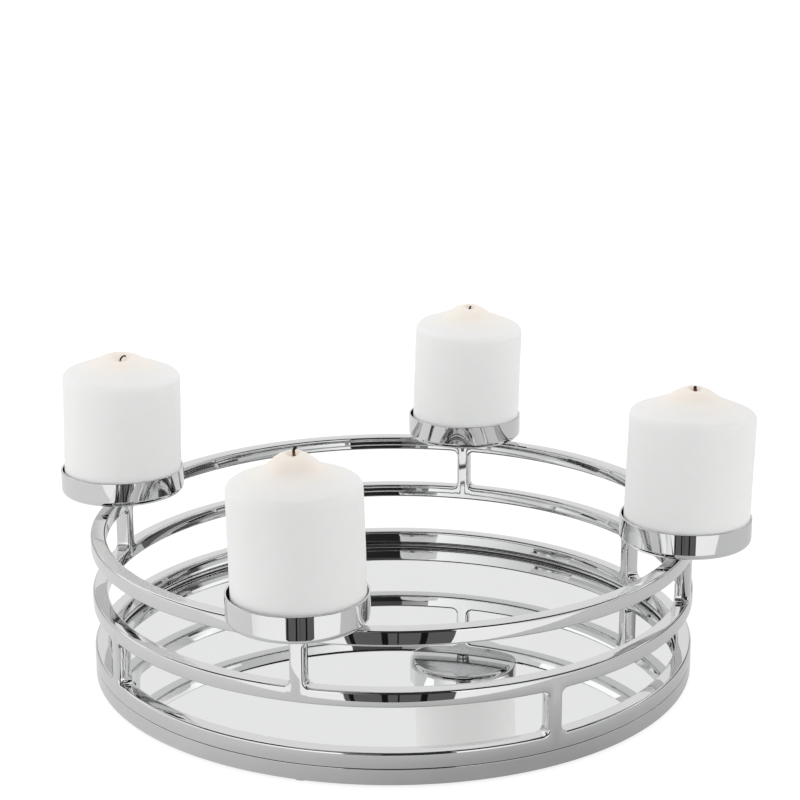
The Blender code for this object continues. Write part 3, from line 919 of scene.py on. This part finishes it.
class WREATH_OT_tray(bpy.types.Operator):
    """Make the tray: its ring, mirror, board, screws and felt feet"""

    bl_idname = "wreath.tray"
    bl_label = "Mirror Tray"

    # The ring's lower edge is rounded less than its others, by this share
    lower_edge = 0.6
    # Walls whose normal points this much to the middle are black: painted shade of the gap between the mirror
    # and the ring
    facing_inward = 0.9
    # Room round a screw's head, and how deep it sits
    head_room = 0.3 * MM
    head_depth = 1.2 * MM
    # Width of the ground edge round the mirror
    arris = 0.5 * MM
    # Each screw was turned in this much further than the one before, in radians
    screw_turn = 0.7
    # The felt's rounded edge
    felt_edge = 0.25 * MM
    # The felt's fuzz, as cycles a metre and a height, starts at this share of a foot's radius
    plain_felt = 0.6
    felt_fuzz = (1500.0, 0.12 * MM)

    def execute(self, context):
        metal_settings = context.scene.wreath_metal
        settings = context.scene.wreath_tray
        self.ring(metal_settings, settings)
        self.mirror(settings)
        # The board keeps its own shape
        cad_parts["base_board"].material_slots[0].material = pressed_board(settings)
        self.screws()
        self.feet(settings)
        return {"FINISHED"}

    def ring(self, metal_settings, settings):
        """The tray's ring, with its ledge, the seats of its screws and black painted shade on its inner wall.
        """
        low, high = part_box("base_ring")
        inner = high.x - metal_settings.bar_width
        edge = metal_settings.edge_rounding
        groove = metal_settings.groove_rounding
        ledge = low.z + settings.ledge_height
        outline = rounded_outline([
            (high.x, high.z, groove),
            (high.x, low.z, self.lower_edge * edge),
            (inner - settings.ledge_reach, low.z, groove),
            (inner - settings.ledge_reach, ledge, groove),
            (inner, ledge, groove),
            (inner, high.z, edge),
        ])
        seats = [seat for number in NUMBERS for seat in self.screw_seats(f"base_screw_{number}", high.z)]
        mesh = cut_mesh(turned_mesh("tray_ring", outline, RING_SEGMENTS), seats)
        polish_turned(mesh, outline)
        for face in mesh.polygons:
            middle = face.center
            inward = -(middle.x * face.normal.x + middle.y * face.normal.y) / middle.xy.length
            if inward > self.facing_inward and middle.z > ledge + groove:
                face.material_index = 1
        metal = shared_finish("polished_plating", polished_metal, metal_settings)
        piece = put("tray_ring", mesh, metal, "polished_metal", ["base_ring"])
        # Painted shade: the inner wall is black, for the gap where the mirror meets the ring
        piece.data.materials.append(painted_gap_shade())

    def screw_seats(self, node, ring_top):
        """What to cut out for a screw: the seat of its head, and a hole through the ring."""
        middle = box_middle(node)
        seats = []
        head = (round_size(node)[0] + self.head_room, middle.z + self.head_depth)
        for radius, top in (head, (SCREW_HOLE, ring_top)):
            shape = bmesh.new()
            bmesh.ops.create_cone(
                shape, cap_ends=True, segments=SMALL_SEGMENTS, radius1=radius, radius2=radius,
                depth=top + MM, matrix=Matrix.Translation((middle.x, middle.y, (top - MM) / 2)))
            seats.append(shape_mesh("seat", shape))
        return seats

    def mirror(self, settings):
        """The mirror plate with its ground edge."""
        low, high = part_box("mirror_plate")
        outline = rounded_outline([
            (0.0, high.z, 0.0),
            (high.x - self.arris, high.z, FINE_EDGE),
            (high.x, high.z - self.arris, FINE_EDGE),
            (high.x, low.z + self.arris, FINE_EDGE),
            (high.x - self.arris, low.z, FINE_EDGE),
            (0.0, low.z, 0.0),
        ], steps=2, closed=False)
        mesh = turned_mesh("mirror_floor", outline, RING_SEGMENTS, closed=False)
        put("mirror_floor", mesh, mirror_glass(settings), "mirror_glass", ["mirror_plate"])

    def screws(self):
        """The screws that hold the tray's ring to the bottom ring, heads down."""
        steel = shared_finish("zinc_plating", screw_steel)
        mesh = screw_mesh("tray_screw", "base_screw_1")
        for number in NUMBERS:
            node = f"base_screw_{number}"
            turn = Matrix.Rotation(HALF_TURN, 4, "X") @ Matrix.Rotation(self.screw_turn * number, 4, "Z")
            place = Matrix.Translation(box_middle(node) + Vector((0, 0, SCREW_HEAD))) @ turn
            put(f"tray_screw_{number}", mesh.copy(), steel, "screw_steel", [node], place)

    def feet(self, settings):
        """The felt feet, whose edges are fuzzy."""
        wool = felt(settings)
        radius, height = round_size("felt_foot_1")
        cycles, fuzz_height = self.felt_fuzz
        outline = rounded_outline([
            (0.0, height, 0.0),
            (radius, height, self.felt_edge),
            (radius, 0.0, self.felt_edge),
            (0.0, 0.0, 0.0),
        ], steps=3, closed=False)
        for number in NUMBERS:
            node = f"felt_foot_{number}"

            def fuzz(co, seed=number):
                if math.hypot(co.x, co.y) < self.plain_felt * radius:
                    return co
                rough = noise.noise(co * cycles + Vector((seed, 0, 0)))
                return co + Vector((co.x, co.y, 0)).normalized() * (fuzz_height * (rough - 1.0))

            mesh = turned_mesh("felt_pad", outline, SMALL_SEGMENTS * 2, closed=False, warp=fuzz)
            put(f"felt_pad_{number}", mesh, wool, "felt", [node], Matrix.Translation(box_middle(node)))


class WREATH_OT_cups(bpy.types.Operator):
    """Make the cups, the bushes that they stand on and their screws"""

    bl_idname = "wreath.cups"
    bl_label = "Candle Cups"

    # Roundings of a cup's rim and of a bush
    rim_rounding = 0.45 * MM
    bush_rounding = 0.3 * MM
    # Faces whose normal points down by more than this are satin
    facing_down = 0.99
    # Each screw was turned in this much further than the one before, in radians
    screw_turn = 0.9

    def execute(self, context):
        settings = context.scene.wreath_metal
        metal = shared_finish("polished_plating", polished_metal, settings)
        steel = shared_finish("zinc_plating", screw_steel)
        satin = satin_metal(settings)
        cup = self.cup_mesh(settings)
        bush = self.bush_mesh()
        screw = screw_mesh("cup_screw", "cup_screw_1")
        for number in NUMBERS:
            node = f"candle_cup_{number}"
            place = Matrix.Translation(box_middle(node))
            piece = put(f"cup_{number}", cup.copy(), metal, "polished_metal", [node], place)
            piece.data.materials.append(satin)
            node = f"cup_spacer_{number}"
            place = Matrix.Translation(box_middle(node))
            put(f"cup_bush_{number}", bush.copy(), metal, "polished_metal", [node], place)
            node = f"cup_screw_{number}"
            head = box_middle(node)
            head.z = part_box(node)[1].z - SCREW_HEAD
            place = Matrix.Translation(head) @ Matrix.Rotation(self.screw_turn * number, 4, "Z")
            put(f"cup_fixing_{number}", screw.copy(), steel, "screw_steel", [node], place)
        return {"FINISHED"}

    def cup_mesh(self, settings):
        """A shallow cup of sheet metal with a hole in its floor, and a satin face below it."""
        radius, height = round_size("candle_cup_1")
        wall = settings.cup_wall
        outline = rounded_outline([
            (radius, height, self.rim_rounding),
            (radius, 0.0, settings.cup_corner),
            (SCREW_HOLE, 0.0, FINE_EDGE),
            (SCREW_HOLE, wall, FINE_EDGE),
            (radius - wall, wall, settings.cup_corner - wall),
            (radius - wall, height, self.rim_rounding),
        ], steps=8)
        mesh = turned_mesh("cup", outline, CUP_SEGMENTS)
        for face in mesh.polygons:
            if face.normal.z < -self.facing_down:
                face.material_index = 1
        return mesh

    def bush_mesh(self):
        """The short bush between a cup and the top ring."""
        radius, height = round_size("cup_spacer_1")
        outline = rounded_outline([
            (radius, height, self.bush_rounding),
            (radius, 0.0, self.bush_rounding),
            (SCREW_HOLE, 0.0, FINE_EDGE),
            (SCREW_HOLE, height, FINE_EDGE),
        ])
        return turned_mesh("cup_bush", outline, SMALL_SEGMENTS * 2)


class WREATH_OT_candles(bpy.types.Operator):
    """Make the candles and their burnt wicks, each leaning a little in its cup"""

    bl_idname = "wreath.candles"
    bl_label = "Candles"

    def execute(self, context):
        for number in NUMBERS:
            self.candle(context.scene.wreath_candles, context.scene.wreath_studio.azimuth, number)
        return {"FINISHED"}

    def candle(self, settings, azimuth, number):
        """One candle with its wick."""
        form = CANDLE_FORMS[number]
        place = Matrix.Translation(box_middle(f"candle_{number}"))
        stance = self.stance(form, azimuth)
        foot = form["wick"][0][1] * MM
        crest, wick_foot = [stance @ Vector((0.0, 0.0, height)) for height in (form["crest"] * MM, foot)]
        # Painted glow of the flame: on the wax round its wick, and on the wick at its foot
        wax = candle_wax(settings, f"white_wax_{number}", crest)
        cotton = burnt_wick(settings, f"charred_cotton_and_glow_{number}", wick_foot.z, form["wick_glow_reach"] * MM)
        candle = candle_mesh(settings, form, number)
        wick = wick_mesh(wick_path(form), foot, form["thickness"] * MM)
        for name, mesh, material, slot, node in (
                ("pillar_candle", candle, wax, "candle_wax", "candle"),
                ("braided_wick", wick, cotton, "burnt_wick", "wick")):
            mesh.transform(stance)
            body = f"{SIDES[number]}_candle"
            put(f"{name}_{number}", mesh, material, slot, [f"{node}_{number}"], place, body)

    def stance(self, form, azimuth):
        """How a candle stands in its cup: it leans to the camera's right on the edge of its base."""
        lean = math.radians(form["lean"])
        edge = Vector((math.copysign(form["foot"] * MM, lean), 0.0, 0.0))
        tilt = Matrix.Translation(edge) @ Matrix.Rotation(lean, 4, "Y") @ Matrix.Translation(-edge)
        shift = Matrix.Translation((form["shift"] * MM, 0.0, 0.0))
        return Matrix.Rotation(azimuth, 4, "Z") @ shift @ tilt


# The stage, in a frame turned to the camera: it stands at -Y, and +X is to its right

def stage_object(name, mesh, material, turn):
    """A piece of the stage, turned to the camera."""
    made = linked_object(name, mesh, turn)
    made.data.materials.append(material)
    return made


def flat_sheet(name, reach, front, back):
    """A level rectangle that reaches as far to the left as to the right."""
    corners = [(-reach, front, 0.0), (reach, front, 0.0), (reach, back, 0.0), (-reach, back, 0.0)]
    return plain_mesh(name, corners, [(0, 1, 2, 3)])


def curved_board(name, start, end, low, high, steps=32):
    """An upright or sloping board bent round the wreath, between two angles to the right of the camera.

    Its lower and upper edges are given as a radius and a height.
    """
    verts = []
    for angle in arc_steps(math.radians(start), math.radians(end), steps):
        for radius, height in (low, high):
            verts.append(polar(radius, angle - QUARTER, height))
    return plain_mesh(name, verts, [(2 * i, 2 * i + 1, 2 * i + 3, 2 * i + 2) for i in range(steps)])


def bare_material(name):
    """A material that has no shader yet, and its nodes."""
    material = bpy.data.materials.new(name)
    material.use_nodes = True
    tree = material.node_tree
    tree.nodes.remove(tree.nodes["Principled BSDF"])
    return material, Nodes(tree)


def show(nodes, shader):
    """Let a material show a shader."""
    nodes.feed(nodes.tree.nodes["Material Output"].inputs["Surface"], shader.outputs[0])


# What a mirror passes on to a matt piece from any board
PLAIN_SHINE = (1.3, 1.3, 1.3)
# Painted shadow: light that the table sends to the metal, darkened near the wreath as a painted soft shadow
# of it, at distances in metres from the middle of that painted shadow
PAINTED_SHADOW_MIDDLE = (0.05, -0.14, 0.0)
PAINTED_SHADOW_SHINE = (
    (0.07, 0.24), (0.11, 0.34), (0.15, 0.41), (0.19, 0.49), (0.25, 0.52), (0.35, 0.58), (1.0, 0.64))
# Painted shade: how much less of it comes from the table's right side, as if the light fell from the left
PAINTED_RIGHT_SHADE = 0.13
PAINTED_RIGHT_SHADE_REACH = (0.05, 0.45)
# The floor's own light, none and then as the camera sees it, and the share of other light that it scatters
# in general, as the camera sees it, and as metal sees it
FLOOR_SHINE = (0.0, 0.80)
FLOOR_SCATTER = (0.92, 0.30)
FLOOR_SCATTER_IN_METAL = 0.25


def glow(name, strengths):
    """A shining surface, whose strength changes with the angle to the right of the camera, in degrees."""
    material, nodes = bare_material(name)
    across = nodes.split(nodes.place)
    angle = nodes.maths("ARCTAN2", across["X"], nodes.maths("MULTIPLY", across["Y"], -1.0))
    share = nodes.spread(angle, 0.0, 1.0, -HALF_TURN, HALF_TURN)
    shine = nodes.ramp(share, [((degrees + 180.0) / 360.0, strength) for degrees, strength in strengths])
    rays = nodes.add("LightPath").outputs
    matt = nodes.maths("MULTIPLY", rays["Diffuse Depth"], rays["Is Glossy Ray"], use_clamp=True)
    show(nodes, nodes.add("Emission", {"Color": nodes.blend(matt, shine, PLAIN_SHINE), "Strength": 1.0}))
    return material


def white_floor():
    """A white floor that keeps the wreath's shadow, and shows as the white background; to the metal it shows
    a painted soft shadow of the wreath and painted shade on its right side.
    """
    material, nodes = bare_material("white_floor")
    rays = nodes.add("LightPath").outputs
    mirrored = nodes.maths("MAXIMUM", rays["Is Glossy Ray"], rays["Is Transmission Ray"])
    # Only metal sees this: a painted soft shadow round the wreath, and painted shade on the table's right
    # side
    table = nodes.ramp(nodes.distance(PAINTED_SHADOW_MIDDLE), PAINTED_SHADOW_SHINE)
    right_side_shade = nodes.spread(nodes.split(nodes.place)["X"], 0.0, PAINTED_RIGHT_SHADE, *PAINTED_RIGHT_SHADE_REACH)
    table = nodes.maths("SUBTRACT", table, right_side_shade)
    shine = nodes.spread(rays["Is Camera Ray"], *FLOOR_SHINE)
    shine = nodes.add("Mix", {"Factor": mirrored, "A": shine, "B": table}).outputs["Result"]
    scatter = nodes.spread(rays["Is Camera Ray"], *FLOOR_SCATTER)
    scatter = nodes.spread(mirrored, scatter, FLOOR_SCATTER_IN_METAL)
    paper = nodes.blend(nodes.grain(300.0, 2.0), (0.98, 0.98, 0.98), (1.0, 1.0, 1.0))
    matt = nodes.add("BsdfDiffuse", {"Color": nodes.blend(scatter, (0.0, 0.0, 0.0), paper)})
    own = nodes.add("Emission", {"Color": (1.0, 1.0, 1.0, 1.0), "Strength": shine})
    show(nodes, nodes.add("AddShader", {0: matt.outputs[0], 1: own.outputs[0]}))
    return material


class WREATH_OT_stage(bpy.types.Operator):
    """Set up the white floor, the boards, the light and the camera"""

    bl_idname = "wreath.stage"
    bl_label = "Studio"

    # The table ends in front of the wreath, and metal sees past its edge to the boards below
    table_front = -0.302
    floor_reach = 12.0
    board_radius = 1.03
    card_gap = 0.01
    board_foot = -1.2
    board_top = 0.69
    hood = ((1.03, 0.69), (0.35, 1.7))
    # Strength of each panel at angles to the right of the camera; a panel reaches from its first to its last
    low_boards = {
        "low_left_board": ((-110, 0.80), (-90, 0.86), (-66, 0.98), (-50, 1.10), (-15.6, 1.12)),
        "low_right_board": ((20, 1.12), (60, 1.10), (80, 0.80), (110, 0.70)),
        "low_slot": ((-15.6, 0.13), (20, 0.12)),
    }
    high_boards = {
        "high_left_board": ((-150, 0.70), (-110, 0.72), (-80, 0.90), (-60, 0.95), (-45, 1.12), (-16.5, 1.38)),
        "high_right_board": ((20, 1.36), (36, 1.15), (48, 0.85), (60, 0.75), (110, 0.62), (150, 0.65)),
    }
    hood_shade = ((-110, 0.02), (110, 0.02))
    # Cards in the slot and before the side boards: lowest and highest point, then strengths at angles
    slot_cards = (
        (0.00, 0.54, ((-16.5, 0.28), (-4, 0.08))),
        (0.54, 0.69, ((-16.5, 0.55), (-4, 0.38))),
        (0.00, 0.54, ((-4, 0.02), (20, 0.03))),
        (0.54, 0.69, ((-4, 0.08), (20, 0.10))),
    )
    left_cards = (
        (0.22, 0.32, ((-146, 0.50), (-128, 0.38), (-112, 0.65), (-94, 0.94), (-72, 0.86))),
        (0.32, 0.40, ((-146, 0.45), (-132, 0.42), (-118, 0.72), (-98, 0.90), (-82, 1.18), (-72, 0.92))),
        (0.40, 0.48, ((-128, 0.70), (-114, 0.66), (-90, 0.62), (-72, 0.95))),
        (0.48, 0.56, ((-150, 1.03), (-130, 0.85), (-90, 0.80), (-78, 1.25), (-68, 1.00))),
        (0.56, 0.69, ((-128, 1.55), (-74, 1.55))),
    )
    right_cards = (
        (0.22, 0.32, ((76, 0.12), (90, 0.05), (102, 0.14), (116, 0.14), (130, 0.05), (144, 0.03))),
        (0.32, 0.40, ((76, 0.50), (100, 0.30), (108, 0.12), (140, 0.15))),
        (0.40, 0.48, ((76, 0.95), (97, 0.75), (101, 0.10), (140, 0.12))),
        (0.48, 0.56, ((76, 1.1), (86, 1.45), (97, 1.45), (110, 0.75), (118, 0.45), (136, 0.65), (150, 0.9))),
        (0.56, 0.69, ((80, 0.75), (90, 1.3), (96, 1.55), (104, 1.5), (112, 1.18), (132, 1.15), (140, 0.85))),
    )
    # Dark stands in the low slot, with middle and width in degrees
    stands = ((-13.2, 1.6), (-2.5, 2.0), (1.8, 0.5), (10.0, 2.2))
    stand_shine = 0.01
    # What metal sees of the room beyond the boards, and the softbox
    mirrored_room = 0.9
    softbox_size = (1.4, 1.0)
    softbox_place = (-0.7, 0.35, 1.3)
    # Where the camera's line of sight passes the wreath: to the right of its middle, and at this height
    camera_aside = 5.1 * MM
    camera_middle = 52.9 * MM

    def execute(self, context):
        settings = context.scene.wreath_studio
        turn = Matrix.Rotation(settings.azimuth, 4, "Z")
        self.floors(turn)
        self.panels(turn)
        self.room(context, settings)
        self.softbox(turn, settings)
        self.camera(context, turn, settings)
        return {"FINISHED"}

    def floors(self, turn):
        """The table round the wreath, and the floor in front of it that the metal sees past."""
        white = white_floor()
        far = self.floor_reach
        stage_object("table", flat_sheet("table", far, self.table_front, far), white, turn)
        sheet = flat_sheet("front_floor", far, -far, self.table_front)
        apron = stage_object("front_floor", sheet, white, turn)
        apron.visible_glossy = False

    def panels(self, turn):
        """White boards beside the camera with a dark slot between them, and the dark room above them."""
        r = self.board_radius
        before = r - self.card_gap
        foot, middle, top = (r, self.board_foot), (r, 0.0), (r, self.board_top)
        rows = [(name, strengths, foot, middle) for name, strengths in self.low_boards.items()]
        rows += [(name, strengths, middle, top) for name, strengths in self.high_boards.items()]
        rows.append(("dark_hood", self.hood_shade, *self.hood))
        for name, cards, radius in (("high_slot", self.slot_cards, r), ("left_card", self.left_cards, before),
                                    ("right_card", self.right_cards, before)):
            for number, (low, high, strengths) in enumerate(cards, 1):
                rows.append((f"{name}_{number}", strengths, (radius, low), (radius, high)))
        inside = before - self.card_gap
        for number, (angle, width) in enumerate(self.stands, 1):
            shade = [(angle + side * width / 2, self.stand_shine) for side in (-1, 1)]
            rows.append((f"dark_stand_{number}", shade, (inside, self.board_foot), (inside, 0.0)))
        for name, strengths, low, high in rows:
            board = curved_board(name, strengths[0][0], strengths[-1][0], low, high)
            panel = stage_object(name, board, glow(name, strengths), turn)
            panel.visible_camera = False
            panel.visible_diffuse = name.startswith("high_slot")
            panel.visible_shadow = False

    def room(self, context, settings):
        """An even white room."""
        world = bpy.data.worlds.new("white_room")
        context.scene.world = world
        world.use_nodes = True
        nodes = Nodes(world.node_tree)
        rays = nodes.add("LightPath").outputs
        seen = nodes.maths("MAXIMUM", rays["Is Camera Ray"], rays["Is Transmission Ray"])
        height = nodes.split(nodes.coordinates["Generated"])["Z"]
        light = nodes.spread(height, settings.room_light, settings.room_light * settings.ceiling_share)
        direct = nodes.maths("LESS_THAN", rays["Diffuse Depth"], 1.0)
        mirrored = nodes.maths("MULTIPLY", rays["Is Glossy Ray"], direct)
        strength = nodes.spread(mirrored, light, self.mirrored_room)
        background = world.node_tree.nodes["Background"]
        nodes.feed(background.inputs["Strength"], nodes.spread(seen, strength, 1.0))
        nodes.feed(background.inputs["Color"], (1.0, 1.0, 1.0, 1.0))

    def softbox(self, turn, settings):
        """One large softbox above the wreath."""
        lamp = bpy.data.lights.new("softbox", "AREA")
        lamp.shape = "RECTANGLE"
        lamp.size, lamp.size_y = self.softbox_size
        lamp.energy = settings.softbox_power
        where = Vector(self.softbox_place)
        aim = (-where).to_track_quat("-Z", "Y").to_matrix().to_4x4()
        linked_object("softbox", lamp, turn @ Matrix.Translation(where) @ aim)

    def camera(self, context, turn, settings):
        """The camera, a little right of the front and above the wreath."""
        data = bpy.data.cameras.new("camera")
        data.lens = settings.lens
        data.sensor_width = 36.0
        where = Vector((self.camera_aside, -settings.distance * math.cos(settings.elevation),
                        settings.distance * math.sin(settings.elevation) + self.camera_middle))
        aim = Matrix.Rotation(QUARTER - settings.pitch, 4, "X") @ Matrix.Rotation(settings.roll, 4, "Z")
        context.scene.camera = linked_object("camera", data, turn @ Matrix.Translation(where) @ aim)
        context.scene.view_settings.view_transform = "Standard"


class WREATH_PT_panel(bpy.types.Panel):
    """The wreath's pieces and settings in the 3D view's sidebar"""

    bl_idname = "WREATH_PT_panel"
    bl_label = "Advent Wreath"
    bl_space_type = "VIEW_3D"
    bl_region_type = "UI"
    bl_category = "Wreath"

    def draw(self, context):
        for operator in OPERATORS:
            self.layout.operator(operator.bl_idname)
        for name, group in SETTINGS.items():
            box = self.layout.box()
            for setting in group.__annotations__:
                box.prop(getattr(context.scene, name), setting)


SETTINGS = {
    "wreath_metal": MetalSettings,
    "wreath_tray": TraySettings,
    "wreath_candles": CandleSettings,
    "wreath_studio": StudioSettings,
}
OPERATORS = (WREATH_OT_frame, WREATH_OT_tray, WREATH_OT_cups, WREATH_OT_candles, WREATH_OT_stage)
CLASSES = (*SETTINGS.values(), *OPERATORS, WREATH_PT_panel)


def register():
    """Register the classes and hang the settings on the scene."""
    for item in CLASSES:
        bpy.utils.register_class(item)
    for name, group in SETTINGS.items():
        setattr(bpy.types.Scene, name, PointerProperty(type=group))


def unregister():
    """Undo register."""
    for name in SETTINGS:
        delattr(bpy.types.Scene, name)
    for item in reversed(CLASSES):
        bpy.utils.unregister_class(item)


def main():
    """Build every group of pieces and the stage."""
    register()
    bpy.ops.wreath.stage()
    bpy.ops.wreath.frame()
    bpy.ops.wreath.tray()
    bpy.ops.wreath.cups()
    bpy.ops.wreath.candles()


if __name__ == "__main__":
    main()
